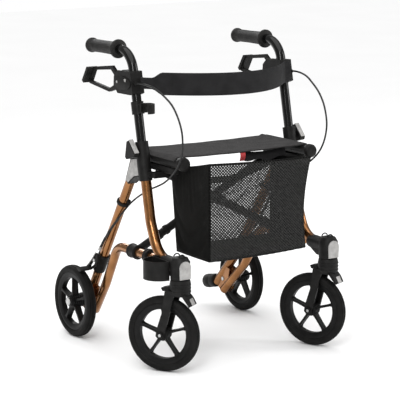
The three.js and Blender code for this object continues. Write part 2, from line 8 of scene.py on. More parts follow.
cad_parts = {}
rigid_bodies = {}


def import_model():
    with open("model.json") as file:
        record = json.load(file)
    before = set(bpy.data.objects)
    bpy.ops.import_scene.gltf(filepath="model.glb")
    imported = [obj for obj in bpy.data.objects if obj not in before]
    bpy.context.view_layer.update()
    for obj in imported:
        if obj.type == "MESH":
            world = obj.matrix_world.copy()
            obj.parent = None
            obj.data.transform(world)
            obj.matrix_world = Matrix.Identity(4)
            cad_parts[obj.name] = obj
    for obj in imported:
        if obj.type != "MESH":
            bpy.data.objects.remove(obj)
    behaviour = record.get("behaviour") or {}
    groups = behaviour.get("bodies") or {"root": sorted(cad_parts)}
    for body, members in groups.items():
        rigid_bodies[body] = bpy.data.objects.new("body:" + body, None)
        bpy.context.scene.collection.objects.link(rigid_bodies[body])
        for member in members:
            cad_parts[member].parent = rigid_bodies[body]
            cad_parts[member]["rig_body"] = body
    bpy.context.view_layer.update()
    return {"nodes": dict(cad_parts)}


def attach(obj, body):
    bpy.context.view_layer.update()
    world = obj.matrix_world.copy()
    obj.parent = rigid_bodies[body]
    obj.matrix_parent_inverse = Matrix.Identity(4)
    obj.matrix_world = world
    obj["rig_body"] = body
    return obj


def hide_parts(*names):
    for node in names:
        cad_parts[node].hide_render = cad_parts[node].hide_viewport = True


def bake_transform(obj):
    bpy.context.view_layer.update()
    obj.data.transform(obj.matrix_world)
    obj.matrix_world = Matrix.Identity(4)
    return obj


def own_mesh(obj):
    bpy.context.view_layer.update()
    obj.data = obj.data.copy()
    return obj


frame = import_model()

ORIGIN = Vector((-9.95, 73.275, 0.0))   # middle of the footprint in the drawing's frame, mm
SIDES = {"right": -1, "left": 1}
SWIVEL = {"right": math.radians(33), "left": math.radians(24)}
LEAN = math.tan(math.radians(12))
FRAME_X = 235.0
AXLE_Z = 100 * math.cos(math.pi / 32)
STEM_Y = -189.0
TRAIL = 46.6
CROSS_Z = 401.3
RAIL_Z = 279.0
SEAT_RAIL_X = 200
SEAT_RAIL_Z = 535
REAR_WHEEL_X = 277
REAR_WHEEL_Y = 286
STRAP_Z = 729


# ------------------------------------------------------------ places and meshes

def at(x, y, z):
    """A point of the drawing, in mm, as metres in the row frame."""
    return (Vector((x, y, z)) - ORIGIN) / 1000


def lean(x, z):
    """A point on the leaning line of the handle post."""
    return Vector((x, -2 + (z - 578) * LEAN, z))


def finish_mesh(obj, paint, smooth=40.0, bevel=0.0, levels=0, segments=2):
    """Outward normals, one material, smooth shading, and rounded edges where they are asked for."""
    mesh = obj.data
    bm = bmesh.new()
    bm.from_mesh(mesh)
    bmesh.ops.recalc_face_normals(bm, faces=bm.faces)
    bm.to_mesh(mesh)
    bm.free()
    mesh.materials.clear()
    mesh.materials.append(paint)
    for face in mesh.polygons:
        face.use_smooth = True
    if smooth < 180:
        mesh.set_sharp_from_angle(angle=math.radians(smooth))
    if bevel:
        edge = obj.modifiers.new("edge", "BEVEL")
        edge.width = bevel / 1000
        edge.segments = segments
        edge.limit_method = "ANGLE"
        edge.angle_limit = math.radians(32)
    if levels:
        soft = obj.modifiers.new("soft", "SUBSURF")
        soft.levels = levels
        soft.render_levels = levels


def piece(name, verts, faces, paint, body, stands_for=(), slot=None, uvs=None, matrix=None, **look):
    """One visible mesh, from points in the drawing's mm, that moves with a body."""
    turn = matrix or Matrix.Identity(4)
    mesh = bpy.data.meshes.new(name)
    mesh.from_pydata([(turn @ Vector(v) - ORIGIN) / 1000 for v in verts], [], faces)
    mesh.update()
    if uvs:
        layer = mesh.uv_layers.new(name="UVMap")
        for loop in mesh.loops:
            layer.data[loop.index].uv = uvs[loop.vertex_index]
    obj = bpy.data.objects.new(name, mesh)
    bpy.context.scene.collection.objects.link(obj)
    finish_mesh(obj, paint, **look)
    if body:
        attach(obj, body)
    if stands_for:
        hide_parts(*stands_for)
    return obj


def fillet(corners, radius, step=12.0):
    """Points along a line whose corners are rounded to a radius."""
    pts = [Vector(c) for c in corners]
    out = [pts[0]]

    def run(to):
        start = out[-1]
        n = max(1, int((to - start).length / step))
        out.extend(start.lerp(to, i / n) for i in range(1, n + 1))

    for i in range(1, len(pts) - 1):
        a = (pts[i - 1] - pts[i]).normalized()
        b = (pts[i + 1] - pts[i]).normalized()
        turn = math.pi - a.angle(b)
        if turn < 1e-3:
            run(pts[i])
            continue
        reach = radius * math.tan(turn / 2)
        reach = min(reach, (pts[i + 1] - pts[i]).length * 0.48)
        r = reach / math.tan(turn / 2)
        enter, leave = pts[i] + a * reach, pts[i] + b * reach
        centre = pts[i] + (a + b).normalized() * (r / math.cos(turn / 2))
        run(enter)
        n = max(3, int(math.degrees(turn) / 6))
        u, v = enter - centre, leave - centre
        for k in range(1, n + 1):
            t = k / n
            s = math.sin(turn)
            out.append(centre + u * (math.sin((1 - t) * turn) / s) + v * (math.sin(t * turn) / s))
    run(pts[-1])
    return out


def catmull(points, steps=6):
    """A smooth curve through the points."""
    pts = [Vector(p) for p in points]
    pts = [pts[0] * 2 - pts[1]] + pts + [pts[-1] * 2 - pts[-2]]
    out = []
    for i in range(1, len(pts) - 2):
        p0, p1, p2, p3 = pts[i - 1:i + 3]
        for k in range(steps):
            t = k / steps
            out.append(0.5 * ((2 * p1) + (p2 - p0) * t + (2 * p0 - 5 * p1 + 4 * p2 - p3) * t * t
                              + (3 * p1 - p0 - 3 * p2 + p3) * t ** 3))
    out.append(pts[-2])
    return out


def sweep(path, radius, sides=20):
    """Rings along a path. radius is a number, or a function of the distance along it."""
    verts, uvs, along = [], [], 0.0
    size = radius if callable(radius) else (lambda d: radius)
    tangent = (path[1] - path[0]).normalized()
    normal = tangent.orthogonal().normalized()
    for i, p in enumerate(path):
        if i:
            along += (p - path[i - 1]).length
        ahead = path[min(i + 1, len(path) - 1)] - path[max(i - 1, 0)]
        ahead.normalize()
        normal = (normal - ahead * normal.dot(ahead)).normalized()
        side = ahead.cross(normal)
        r = size(along)
        for k in range(sides):
            a = 2 * math.pi * k / sides
            verts.append(p + (normal * math.cos(a) + side * math.sin(a)) * r)
            uvs.append((a * r / 1000, along / 1000))
    faces = []
    for i in range(len(path) - 1):
        for k in range(sides):
            a, b = i * sides + k, i * sides + (k + 1) % sides
            faces.append((a, b, b + sides, a + sides))
    faces.append(tuple(range(sides - 1, -1, -1)))
    faces.append(tuple(range((len(path) - 1) * sides, len(path) * sides)))
    return verts, faces, uvs


def turned(start, end, profile, sides=32, closed=False):
    """A profile of (distance from start, radius) turned about the line from start to end."""
    start, end = Vector(start), Vector(end)
    axis = (end - start).normalized()
    normal = axis.orthogonal().normalized()
    side = axis.cross(normal)
    verts, uvs, length = [], [], 0.0
    for i, (d, r) in enumerate(profile):
        if i:
            length += math.hypot(d - profile[i - 1][0], r - profile[i - 1][1])
        for k in range(sides):
            a = 2 * math.pi * (k + 0.5) / sides
            verts.append(start + axis * d + (normal * math.cos(a) + side * math.sin(a)) * max(r, 0.01))
            uvs.append((a / (2 * math.pi), length / 1000))
    rows = len(profile)
    faces = []
    for i in range(rows if closed else rows - 1):
        j = (i + 1) % rows
        for k in range(sides):
            m = (k + 1) % sides
            faces.append((i * sides + k, i * sides + m, j * sides + m, j * sides + k))
    if not closed:
        faces.append(tuple(range(sides - 1, -1, -1)))
        faces.append(tuple(range((rows - 1) * sides, rows * sides)))
    return verts, faces, uvs


def rounded(outline, radius, steps=4):
    """A 2-D outline with its corners rounded."""
    pts = [Vector(p) for p in outline]
    out = []
    for i, p in enumerate(pts):
        a, b = pts[i - 1] - p, pts[(i + 1) % len(pts)] - p
        reach = min(radius, a.length * 0.4, b.length * 0.4)
        enter, leave = p + a.normalized() * reach, p + b.normalized() * reach
        for k in range(steps + 1):
            t = k / steps
            out.append(enter * (1 - t) ** 2 + p * (2 * t * (1 - t)) + leave * t * t)
    return out


def plate(name, outline, x0, x1, paint, body, holes=(), corner=3.0, bevel=1.0, **kw):
    """A plate with rounded edges, cut from an outline of (y, z) and as thick as x0 to x1."""
    curve = bpy.data.curves.new(name + ".outline", "CURVE")
    curve.dimensions = "2D"
    curve.fill_mode = "BOTH"
    curve.extrude = max(abs(x1 - x0) / 2 - bevel, 0.05)
    curve.bevel_depth = bevel
    curve.bevel_resolution = 2
    curve.offset = -bevel
    for ring in [outline, *holes]:
        pts = rounded(ring, corner) if corner else [Vector(p) for p in ring]
        spline = curve.splines.new("POLY")
        spline.points.add(len(pts) - 1)
        for target, p in zip(spline.points, pts):
            target.co = (p.x, p.y, 0, 1)
        spline.use_cyclic_u = True
    holder = bpy.data.objects.new(name + ".outline", curve)
    bpy.context.scene.collection.objects.link(holder)
    bpy.context.view_layer.update()
    mesh = bpy.data.meshes.new_from_object(holder.evaluated_get(bpy.context.evaluated_depsgraph_get()))
    bpy.data.objects.remove(holder)
    bm = bmesh.new()
    bm.from_mesh(mesh)
    bmesh.ops.remove_doubles(bm, verts=bm.verts, dist=1e-3)
    middle = (x0 + x1) / 2
    verts = [(middle + v.co.z, v.co.x, v.co.y) for v in bm.verts]
    bm.verts.index_update()
    faces = [[v.index for v in f.verts] for f in bm.faces]
    bm.free()
    bpy.data.meshes.remove(mesh)
    return piece(name, verts, faces, paint, body, **kw)


def block(name, low, high, paint, body, bevel=2.0, **kw):
    """A box with rounded edges between two corners."""
    (x0, y0, z0), (x1, y1, z1) = low, high
    verts = [(x, y, z) for x in (x0, x1) for y in (y0, y1) for z in (z0, z1)]
    faces = [(0, 1, 3, 2), (4, 6, 7, 5), (0, 4, 5, 1), (2, 3, 7, 6), (0, 2, 6, 4), (1, 5, 7, 3)]
    return piece(name, verts, faces, paint, body, bevel=bevel, segments=3, **kw)


def rod(name, start, end, radius, paint, body, edge=0.8, sides=24, **kw):
    """A round bar with chamfered ends."""
    length = (Vector(end) - Vector(start)).length
    profile = [(0, radius - edge), (edge, radius), (length - edge, radius), (length, radius - edge)]
    return piece(name, *turned(start, end, profile, sides)[:2], paint, body, **kw)


def skin(node, paint, bevel=0.8, smooth=38.0):
    """A refined copy of a CAD node: its edges are rounded and its curved faces shade smoothly."""
    source = frame["nodes"][node]
    body = source["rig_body"]
    mesh = source.data.copy()
    mesh.name = node + "_skin"
    bm = bmesh.new()
    bm.from_mesh(mesh)
    bmesh.ops.remove_doubles(bm, verts=bm.verts, dist=2e-5)
    bmesh.ops.dissolve_limit(bm, angle_limit=math.radians(1.0), verts=bm.verts, edges=bm.edges)
    bm.to_mesh(mesh)
    bm.free()
    if mesh.has_custom_normals:
        mesh.attributes.remove(mesh.attributes["custom_normal"])
    obj = bpy.data.objects.new(node + "_skin", mesh)
    bpy.context.scene.collection.objects.link(obj)
    finish_mesh(obj, paint, smooth=smooth, bevel=bevel)
    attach(obj, body)
    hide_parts(node)
    return obj


# ------------------------------------------------------------ materials

def paint(name, color, rough, metal=0.0, coat=0.0, sheen=0.0, specular=0.5):
    """A new material with its constants set on the shader itself."""
    made = bpy.data.materials.new(name)
    made.use_nodes = True
    shader = made.node_tree.nodes["Principled BSDF"]
    shader.inputs["Base Color"].default_value = (*color, 1)
    shader.inputs["Roughness"].default_value = rough
    shader.inputs["Metallic"].default_value = metal
    shader.inputs["Coat Weight"].default_value = coat
    shader.inputs["Coat Roughness"].default_value = 0.12
    shader.inputs["Sheen Weight"].default_value = sheen
    shader.inputs["Specular IOR Level"].default_value = specular
    return made


def node(material, kind, **values):
    """A new shader node, with its inputs or settings given by name."""
    made = material.node_tree.nodes.new(kind)
    for key, value in values.items():
        if key in made.inputs:
            made.inputs[key].default_value = value
        else:
            setattr(made, key, value)
    return made


def link(material, a, b):
    material.node_tree.links.new(a, b)


def shader_of(material):
    return material.node_tree.nodes["Principled BSDF"]


def vary(material, dark, light, scale, detail=3.0):
    """Soft colour variation between two tones."""
    coords = node(material, "ShaderNodeTexCoord")
    noise = node(material, "ShaderNodeTexNoise", Scale=scale, Detail=detail)
    ramp = node(material, "ShaderNodeValToRGB")
    ramp.color_ramp.elements[0].position = 0.32
    ramp.color_ramp.elements[0].color = (*dark, 1)
    ramp.color_ramp.elements[1].position = 0.7
    ramp.color_ramp.elements[1].color = (*light, 1)
    link(material, coords.outputs["Object"], noise.inputs["Vector"])
    link(material, noise.outputs["Fac"], ramp.inputs["Fac"])
    link(material, ramp.outputs["Color"], shader_of(material).inputs["Base Color"])
    return ramp


def gloss(material, low, high, scale):
    """Roughness that wanders, as handled surfaces do."""
    coords = node(material, "ShaderNodeTexCoord")
    noise = node(material, "ShaderNodeTexNoise", Scale=scale, Detail=4.0)
    span = node(material, "ShaderNodeMapRange")
    span.inputs["To Min"].default_value = low
    span.inputs["To Max"].default_value = high
    link(material, coords.outputs["Object"], noise.inputs["Vector"])
    link(material, noise.outputs["Fac"], span.inputs["Value"])
    link(material, span.outputs["Result"], shader_of(material).inputs["Roughness"])


def grain(material, scale, depth, strength=0.5, kind="ShaderNodeTexNoise"):
    """Fine relief, such as moulded plastic or rubber."""
    coords = node(material, "ShaderNodeTexCoord")
    relief = node(material, kind, Scale=scale)
    bump = node(material, "ShaderNodeBump", Strength=strength, Distance=depth)
    link(material, coords.outputs["Object"], relief.inputs["Vector"])
    out = "Fac" if kind == "ShaderNodeTexNoise" else "Distance"
    link(material, relief.outputs[out], bump.inputs["Height"])
    link(material, bump.outputs["Normal"], shader_of(material).inputs["Normal"])


def weave(material, pitch, depth, light, strength=0.8):
    """Warp and weft from two wave textures on the piece's own length and width."""
    coords = node(material, "ShaderNodeTexCoord")
    waves = []
    for direction in ("X", "Y"):
        wave = node(material, "ShaderNodeTexWave", Scale=2 * math.pi / (20 * pitch), Distortion=0.6)
        wave.inputs["Detail"].default_value = 2.0
        wave.bands_direction = direction
        link(material, coords.outputs["UV"], wave.inputs["Vector"])
        waves.append(wave)
    both = node(material, "ShaderNodeMath", operation="MULTIPLY")
    link(material, waves[0].outputs["Fac"], both.inputs[0])
    link(material, waves[1].outputs["Fac"], both.inputs[1])
    bump = node(material, "ShaderNodeBump", Strength=strength, Distance=depth)
    link(material, both.outputs["Value"], bump.inputs["Height"])
    link(material, bump.outputs["Normal"], shader_of(material).inputs["Normal"])
    noise = node(material, "ShaderNodeTexNoise", Scale=35.0, Detail=4.0)
    link(material, coords.outputs["Object"], noise.inputs["Vector"])
    mixed = node(material, "ShaderNodeMath", operation="MULTIPLY_ADD")
    mixed.inputs[1].default_value = 0.45
    link(material, both.outputs["Value"], mixed.inputs[0])
    link(material, noise.outputs["Fac"], mixed.inputs[2])
    base = shader_of(material).inputs["Base Color"].default_value[:3]
    ramp = node(material, "ShaderNodeValToRGB")
    ramp.color_ramp.elements[0].position = 0.3
    ramp.color_ramp.elements[0].color = (*base, 1)
    ramp.color_ramp.elements[1].position = 0.95
    ramp.color_ramp.elements[1].color = (*light, 1)
    link(material, mixed.outputs["Value"], ramp.inputs["Fac"])
    link(material, ramp.outputs["Color"], shader_of(material).inputs["Base Color"])


bronze = paint("bronze_paint", (0.30, 0.125, 0.036), 0.26, metal=0.95, coat=0.45)
vary(bronze, (0.23, 0.09, 0.022), (0.37, 0.165, 0.055), 26.0)
gloss(bronze, 0.18, 0.32, 60.0)
grain(bronze, 2600.0, 0.00004, 0.25)

post_paint = paint("post_gloss", (0.003, 0.003, 0.003), 0.16, coat=0.3, specular=0.2)
vary(post_paint, (0.002, 0.002, 0.002), (0.005, 0.0048, 0.0046), 30.0)
gloss(post_paint, 0.1, 0.22, 45.0)
grain(post_paint, 2200.0, 0.00003, 0.2)

plastic = paint("moulded_plastic", (0.009, 0.0087, 0.0083), 0.45, specular=0.16)
vary(plastic, (0.006, 0.0058, 0.0055), (0.013, 0.0125, 0.012), 55.0)
gloss(plastic, 0.38, 0.6, 90.0)
grain(plastic, 1500.0, 0.00012, 0.35)

silver = paint("silver_plastic", (0.36, 0.355, 0.345), 0.42, metal=0.2)
vary(silver, (0.30, 0.295, 0.285), (0.43, 0.42, 0.41), 70.0)
gloss(silver, 0.36, 0.52, 110.0)
grain(silver, 1900.0, 0.00008, 0.3)

rubber = paint("grip_rubber", (0.014, 0.0135, 0.013), 0.6, specular=0.2)
vary(rubber, (0.01, 0.0096, 0.0092), (0.023, 0.022, 0.021), 70.0)
grain(rubber, 900.0, 0.0002, 0.5, "ShaderNodeTexVoronoi")

tread = paint("tyre_rubber", (0.006, 0.0057, 0.0054), 0.55, specular=0.14)
vary(tread, (0.004, 0.0038, 0.0036), (0.009, 0.0087, 0.0083), 45.0)
gloss(tread, 0.5, 0.75, 80.0)
grain(tread, 1100.0, 0.00015, 0.4)

rim_paint = paint("rim_plastic", (0.005, 0.005, 0.0048), 0.38, specular=0.16)
vary(rim_paint, (0.003, 0.003, 0.003), (0.008, 0.0078, 0.0076), 50.0)
gloss(rim_paint, 0.32, 0.5, 85.0)
grain(rim_paint, 1400.0, 0.0001, 0.3)

steel = paint("zinc_steel", (0.5, 0.5, 0.5), 0.3, metal=1.0)
vary(steel, (0.4, 0.4, 0.4), (0.6, 0.6, 0.59), 120.0)
gloss(steel, 0.22, 0.42, 150.0)
grain(steel, 2500.0, 0.00004, 0.3)

cable_skin = paint("cable_housing", (0.006, 0.006, 0.006), 0.34, specular=0.4)
vary(cable_skin, (0.004, 0.004, 0.004), (0.01, 0.01, 0.01), 90.0)
grain(cable_skin, 800.0, 0.0001, 0.3)

seat_cloth = paint("seat_cloth", (0.02, 0.019, 0.019), 0.8, sheen=0.03, specular=0.1)
weave(seat_cloth, 0.0016, 0.00035, (0.045, 0.043, 0.043))

strap_cloth = paint("strap_cloth", (0.009, 0.0088, 0.0092), 0.72, sheen=0.02, specular=0.12)
weave(strap_cloth, 0.0013, 0.00025, (0.02, 0.0196, 0.0205))

basket_cloth = paint("basket_cloth", (0.003, 0.003, 0.0028), 0.7, sheen=0.0, specular=0.1)
weave(basket_cloth, 0.0015, 0.0003, (0.009, 0.009, 0.0084))

net_yarn = paint("net_yarn", (0.022, 0.022, 0.021), 0.5, specular=0.3)
vary(net_yarn, (0.008, 0.008, 0.0076), (0.038, 0.038, 0.036), 160.0)
grain(net_yarn, 1800.0, 0.0002, 0.5)

red_web = paint("red_webbing", (0.45, 0.02, 0.025), 0.7, sheen=0.2)
weave(red_web, 0.0014, 0.0003, (0.6, 0.05, 0.05))


# ------------------------------------------------------------ camera, light and floor

def look_from(x, y, z, forward):
    """The camera at a point of the drawing, looking along forward."""
    camera = bpy.data.objects.new("camera", bpy.data.cameras.new("camera"))
    bpy.context.scene.collection.objects.link(camera)
    camera.data.lens = 174.9
    camera.data.sensor_width = 36.0
    camera.data.clip_start, camera.data.clip_end = 0.1, 60.0
    camera.rotation_mode = "QUATERNION"
    camera.rotation_quaternion = Vector(forward).to_track_quat("-Z", "Y")
    camera.location = at(x, y, z)
    bpy.context.scene.camera = camera


look_from(-2828.3, -4274.2, 1372.8, (0.5351, 0.8239, -0.1868))


def area_light(name, where, size, power, target=(0, 0, 0.4)):
    """A soft rectangular lamp that faces the target."""
    lamp = bpy.data.lights.new(name, "AREA")
    lamp.shape = "RECTANGLE"
    lamp.size, lamp.size_y = size
    lamp.energy = power
    obj = bpy.data.objects.new(name, lamp)
    obj.location = where
    obj.rotation_mode = "QUATERNION"
    obj.rotation_quaternion = (Vector(target) - Vector(where)).to_track_quat("-Z", "Y")
    bpy.context.scene.collection.objects.link(obj)


area_light("key_light", (-2.2, -2.4, 2.2), (0.8, 1.8), 45)
area_light("fill_light", (2.8, -1.8, 1.6), (0.7, 1.8), 30)
area_light("back_light", (0.4, 3.0, 2.0), (2.0, 1.0), 35)

sun_data = bpy.data.lights.new("ceiling_light", "SUN")
sun_data.energy = 2.1
sun_data.angle = 1.4
sun = bpy.data.objects.new("ceiling_light", sun_data)
sun.rotation_euler = (math.radians(8), math.radians(-10), 0)
bpy.context.scene.collection.objects.link(sun)

bpy.context.scene.view_settings.view_transform = "Standard"
world = bpy.data.worlds.new("studio")
world.use_nodes = True
sky = world.node_tree.nodes
sky["Background"].inputs["Color"].default_value = (1, 1, 1, 1)
ray = sky.new("ShaderNodeLightPath")
level = sky.new("ShaderNodeMapRange")
level.inputs["To Min"].default_value = 0.38
level.inputs["To Max"].default_value = 1.0
world.node_tree.links.new(ray.outputs["Is Camera Ray"], level.inputs["Value"])
world.node_tree.links.new(level.outputs["Result"], sky["Background"].inputs["Strength"])
bpy.context.scene.world = world

FLOOR_Z = -0.0005   # metres, just below the tyres
floor_paint = paint("pale_floor", (0.95, 0.95, 0.95), 0.9, specular=0.2)
vary(floor_paint, (0.94, 0.94, 0.94), (0.96, 0.96, 0.96), 2.0)
floor = bpy.data.objects.new("floor", bpy.data.meshes.new("floor"))
floor_corners = [(x, y, FLOOR_Z) for x, y in ((-9, -9), (9, -9), (9, 9), (-9, 9))]
floor.data.from_pydata(floor_corners, [], [(0, 1, 2, 3)])
floor.data.materials.append(floor_paint)
bpy.context.scene.collection.objects.link(floor)


# ------------------------------------------------------------ side frames

def tube(name, path, radius, material, body, node_name, slot, sides=24):
    """A bent round tube in place of a CAD node."""
    verts, faces, uvs = sweep(path, radius, sides)
    return piece(name, verts, faces, material, body, stands_for=(node_name,), slot=slot, uvs=uvs, bevel=0)


def on_rear_tube(s, z):
    """Centre of the rear tube's upper run at a height, and the run's direction."""
    top, knee = Vector((s * FRAME_X, 40, 490)), Vector((s * 231, 236, 187))
    return top.lerp(knee, (490 - z) / (490 - 187)), (knee - top).normalized()


def cable_clip(side, s, body):
    """The ring on the rear tube that the brake cable is tied to, with its two ears."""
    centre, along = on_rear_tube(s, 402)
    profile = [(0, 13.1), (0, 16.4), (1.2, 17.2), (7.8, 17.2), (9, 16.4), (9, 13.1)]
    verts, faces, uvs = turned(centre - along * 4.5, centre + along * 4.5, profile, 36)
    piece(f"cable_ring_{side}", verts, faces, plastic, body, slot="black_plastic", uvs=uvs)
    for k, (dy, dz) in enumerate(((-16, 2), (17, -2))):
        y, z = centre.y + dy, centre.z + dz
        inner, outer = min(s * 221, s * 232), max(s * 221, s * 232)
        block(f"ring_ear_{side}_{k}", (inner, y - 5, z - 6), (outer, y + 5, z + 6), plastic, body,
              slot="black_plastic", bevel=2)


def brake_linkage(side, s):
    """The arm, its stiffening web, the pull rod and the shoe over the rear tyre."""
    body = f"brake_{side}"
    arm = [(192, 244), (200, 248), (214, 237), (243, 210), (252, 203), (247, 193), (234, 193), (206, 208),
           (193, 224)]
    hole = [(205, 232), (233, 206), (230, 201), (206, 216)]
    plate(f"brake_arm_{side}_web", arm, s * 254.4, s * 259.6, plastic, body, holes=(hole,), corner=2.5,
          bevel=0.8, stands_for=(f"brake_arm_{side}",), slot="black_plastic")
    shoe = [(226, 199), (238, 205.5), (254, 200), (252, 196.5), (240, 190.5), (228, 195)]
    plate(f"brake_shoe_{side}", shoe, s * 259.6, s * 290, plastic, body, corner=1.5, bevel=1.2,
          slot="black_plastic")
    rod(f"brake_pull_{side}", (s * 262, 196, 250), (s * 262, 238, 206), 1.7, steel, body, slot="steel")
    rod(f"brake_pin_{side}", (s * 259, 206, 226), (s * 263.5, 206, 226), 5, steel, body, slot="steel")


def side_frame(side, s):
    """The tubes, lug, sleeve, cover, brake, knob, caster head and pedal of one side."""
    body = f"frame_{side}"
    x = s * FRAME_X
    front = fillet([lean(x, 540), lean(x, 372), (x, -84, 287), (x, -172, 280)], 90)
    tube(f"front_tube_{side}_bent", front, 14, bronze, body, f"front_tube_{side}", "frame_bronze")
    rear = fillet([(x, 40, 490), (s * 231, 236, 187), (s * 215, 320, 83)], 120)
    tube(f"rear_tube_{side}_bent", rear, 13, bronze, body, f"rear_tube_{side}", "frame_bronze")
    rail = fillet([(x, -84, RAIL_Z), (x, 122, RAIL_Z), (s * 229, 198, 158), (s * 214, 284, 66)], 60)
    tube(f"lower_rail_{side}_bent", rail, 12.5, bronze, body, f"lower_rail_{side}", "frame_bronze")
    skin(f"axle_lug_{side}", bronze, 1.5)
    skin(f"rear_axle_{side}", steel, 0.8)
    skin(f"post_sleeve_{side}", plastic, 1.4)
    skin(f"cover_plate_{side}", silver, 0.5)
    border = [(-5, 537), (28, 531.5), (56.5, 469), (42, 461.5), (11, 482.5), (-14.5, 488)]
    plate(f"cover_border_{side}", border, s * 248.4, s * 250.6, plastic, body, corner=4, bevel=0.7,
          slot="black_plastic")
    skin(f"brake_body_{side}", plastic, 1.0)
    brake_linkage(side, s)
    cable_clip(side, s, body)
    skin(f"height_knob_{side}", plastic, 2.4)
    strip = [(3.5, 584.2), (-27.5, 552.4), (-29, 554), (1.5, 585.6)]
    plate(f"knob_strip_{side}", strip, s * 258.5, s * 271.5, silver, f"knob_{side}", corner=0.5, bevel=0.5,
          slot="grey_plastic")
    skin(f"caster_head_{side}", plastic, 1.6)
    skin(f"caster_plate_{side}", silver, 0.6)
    verts, faces, uvs = turned((s * 215.6, 323, 87.5), (s * 213, 370, 77), [
        (0, 12), (0, 18), (2, 19.4), (16, 19.6), (18, 18.6), (21, 18.6), (23, 19.8), (38, 20.2),
        (40, 19.2), (43, 19.2), (45, 19.6), (47, 18), (48, 14)])
    piece(f"tip_pedal_{side}_ribbed", verts, faces, rubber, body, (f"tip_pedal_{side}",), "rubber", uvs)
    for k, y in enumerate((-172, -196)):
        hoop = [Vector((x + 9 * math.cos(a), y, 303 + 8 * math.sin(a))) for a in
                (math.pi * i / 10 for i in range(11))]
        verts, faces, uvs = sweep(hoop, 1.8, 10)
        piece(f"caster_hoop_{side}_{k}", verts, faces, plastic, body, slot="black_plastic", uvs=uvs)


def caster_matrix(side, s):
    """Where a caster stands, and how far it is turned."""
    return Matrix.Translation((s * FRAME_X, STEM_Y, 0)) @ Matrix.Rotation(SWIVEL[side], 4, "Z")


def tyre_and_rim(side, place, prefix, body, hub_in, hub_out):
    """Tyre, rim, five blade spokes and ribbed hub about the local X axis of place."""
    profile = [(-9, 79), (-12.5, 82), (-13.6, 86), (-14, 90), (-13, 93.5), (-11, 96.2), (-8.6, 98),
               (-8.2, 97), (-6.8, 97), (-6.4, 98.9), (-2.6, 99.5), (-2.2, 98.4), (-0.8, 98.4), (-0.4, 99.5)]
    full = profile + [(-d, r) for d, r in reversed(profile)]
    verts, faces, uvs = turned((0, 0, 0), (1, 0, 0), full, 72, closed=True)
    piece(f"{prefix}_tyre_{side}_ring", verts, faces, tread, body, (f"{prefix}_tyre_{side}",), "tyre", uvs,
          place, smooth=50)
    band = [(-9.4, 78.7), (-10.4, 80.5), (-11, 79), (-10.2, 74), (-8.6, 70.5), (-8, 66), (-7, 65), (7, 65),
            (8, 66), (8.6, 70.5), (10.2, 74), (11, 79), (10.4, 80.5), (9.4, 78.7)]
    verts, faces, uvs = turned((0, 0, 0), (1, 0, 0), band, 64, closed=True)
    piece(f"{prefix}_rim_{side}_band", verts, faces, rim_paint, body, (f"{prefix}_rim_{side}",), "rim", uvs,
          place)
    lo, hi = min(hub_in, hub_out), max(hub_in, hub_out)
    steps = [(lo, 11), (lo, 14), (lo + 1.2, 15.5)]
    d = lo + 4
    while d < hi - 7:
        steps += [(d, 15.5), (d + 0.6, 17.6), (d + 3.4, 17.6), (d + 4, 15.5)]
        d += 6.5
    steps += [(hi - 1.2, 15.5), (hi, 14), (hi, 11)]
    verts, faces, uvs = turned((0, 0, 0), (1, 0, 0), steps, 40)
    piece(f"{prefix}_hub_{side}", verts, faces, rim_paint, body, slot="rim", uvs=uvs, matrix=place)
    for i in range(5):
        turn = place @ Matrix.Rotation(i / 5 * 2 * math.pi, 4, "X")
        verts, faces = [], []
        rows = [(14, 9.5, 4.6), (24, 9.5, 3.4), (44, 9.0, 3.0), (60, 8.6, 3.6), (66.5, 8.4, 6.0)]
        for z, wide, thick in rows:
            verts += [(-wide, -thick, z), (-wide * 0.3, -thick * 0.45, z), (wide * 0.3, -thick * 0.45, z),
                      (wide, -thick, z), (wide, thick, z), (wide * 0.3, thick * 0.45, z),
                      (-wide * 0.3, thick * 0.45, z), (-wide, thick, z)]
        for r in range(len(rows) - 1):
            for k in range(8):
                a, b = r * 8 + k, r * 8 + (k + 1) % 8
                faces.append((a, b, b + 8, a + 8))
        faces += [tuple(range(7, -1, -1)), tuple(range((len(rows) - 1) * 8, len(rows) * 8))]
        piece(f"{prefix}_spoke_{side}_{i}", verts, faces, rim_paint, body, slot="rim", matrix=turn,
              bevel=0.7)


def caster(side, s):
    """A fork with its crown ribs, front lip and axle screws, and its wheel."""
    place = caster_matrix(side, s)
    body = f"caster_{side}"
    skin(f"caster_fork_{side}", plastic, 1.3)
    skin(f"front_axle_{side}", rim_paint, 0.6)
    for end in (-1, 1):
        name = f"axle_screw_{side}_{'in' if end < 0 else 'out'}"
        rod(name, (end * 27.5, TRAIL, AXLE_Z), (end * 29, TRAIL, AXLE_Z), 4, steel, body, slot="steel",
            matrix=place)
    wheel = place @ Matrix.Translation((0, TRAIL, AXLE_Z))
    tyre_and_rim(side, wheel, "front", f"front_wheel_{side}", -15.5, 15.5)
    for i in range(3):
        z = 214 + i * 9
        verts, faces, _ = turned((0, 0, z), (0, 0, z + 4), [(0, 26.4), (0.8, 28), (3.2, 28), (4, 26.4)], 32)
        piece(f"crown_rib_{side}_{i}", verts, faces, plastic, body, slot="black_plastic", matrix=place)
    lip = [(-29.4, 198.2), (-37.2, 182), (-38.6, 183), (-30.8, 199.4)]
    plate(f"fork_lip_{side}", lip, -9, 9, silver, body, corner=0.6, bevel=0.5, slot="grey_plastic",
          matrix=place)


def rear_wheel(side, s):
    """A rear wheel on its axle."""
    place = Matrix.Translation((s * REAR_WHEEL_X, REAR_WHEEL_Y, AXLE_Z))
    tyre_and_rim(side, place, "rear", f"rear_wheel_{side}", -s * 35, s * 19)


# ------------------------------------------------------------ handles

